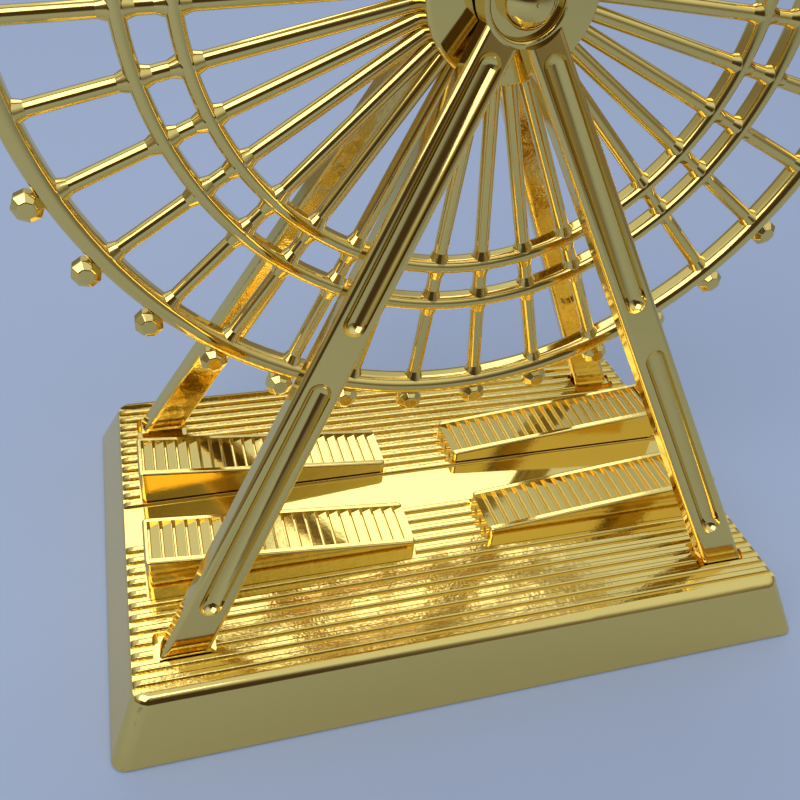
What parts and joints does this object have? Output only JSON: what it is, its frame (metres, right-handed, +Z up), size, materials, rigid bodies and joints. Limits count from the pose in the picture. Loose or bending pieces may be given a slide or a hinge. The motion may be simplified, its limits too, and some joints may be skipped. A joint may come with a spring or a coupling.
{
  "type": "ferris wheel toy",
  "caption": "Table-top ferris wheel: a spoked wheel with small cabins on its rim turns between two leaning A-frames on a ribbed base with stepped ramps.",
  "frame": {"origin": "middle of the underside, on the surface the toy stands on", "axes": "+Z up, +Y along the axle towards the rear, +X to the right seen from the front"},
  "size_m": [0.15, 0.0858, 0.1833],
  "materials": {
    "gold_plating": "polished gold plating",
    "steel_axle": "ground",
    "steel_plate": "rolled",
    "steel_screws": "zinc plated",
    "bronze_bush": "sintered",
    "felt": "pressed felt"
  },
  "bodies": {
    "stand": {"base_casting": "gold_plating", "bottom_plate": "steel_plate", "felt_pad": "felt", "plate_screws": "steel_screws", "foot_screws": "steel_screws", "boarding_ramp_front_left": "gold_plating", "boarding_ramp_front_right": "gold_plating", "boarding_ramp_rear_left": "gold_plating", "boarding_ramp_rear_right": "gold_plating", "front_a_frame": "gold_plating", "rear_a_frame": "gold_plating", "axle": "steel_axle", "axle_cap_front": "gold_plating", "axle_cap_rear": "gold_plating"},
    "wheel": {"wheel_casting": "gold_plating", "hub_cover_front": "gold_plating", "hub_cover_rear": "gold_plating", "bush_front": "bronze_bush", "bush_rear": "bronze_bush", "cabin_01": "gold_plating", "cabin_02": "gold_plating", "cabin_03": "gold_plating", "cabin_04": "gold_plating", "cabin_05": "gold_plating", "cabin_06": "gold_plating", "cabin_07": "gold_plating", "cabin_08": "gold_plating", "cabin_09": "gold_plating", "cabin_10": "gold_plating", "cabin_11": "gold_plating", "cabin_12": "gold_plating", "cabin_13": "gold_plating", "cabin_14": "gold_plating", "cabin_15": "gold_plating", "cabin_16": "gold_plating", "cabin_17": "gold_plating", "cabin_18": "gold_plating", "cabin_19": "gold_plating", "cabin_20": "gold_plating", "cabin_21": "gold_plating", "cabin_22": "gold_plating", "cabin_23": "gold_plating", "cabin_24": "gold_plating", "cabin_25": "gold_plating", "cabin_26": "gold_plating", "cabin_27": "gold_plating", "cabin_28": "gold_plating", "cabin_29": "gold_plating", "cabin_30": "gold_plating", "cabin_31": "gold_plating", "cabin_32": "gold_plating", "cabin_33": "gold_plating", "cabin_34": "gold_plating", "cabin_35": "gold_plating", "cabin_36": "gold_plating"}
  },
  "joints": [
    {"name": "wheel_spin", "type": "hinge", "parent": "stand", "child": "wheel", "pos_m": [0, 0, 0.1083], "axis": [0, 1, 0], "continuous": true}
  ]
}
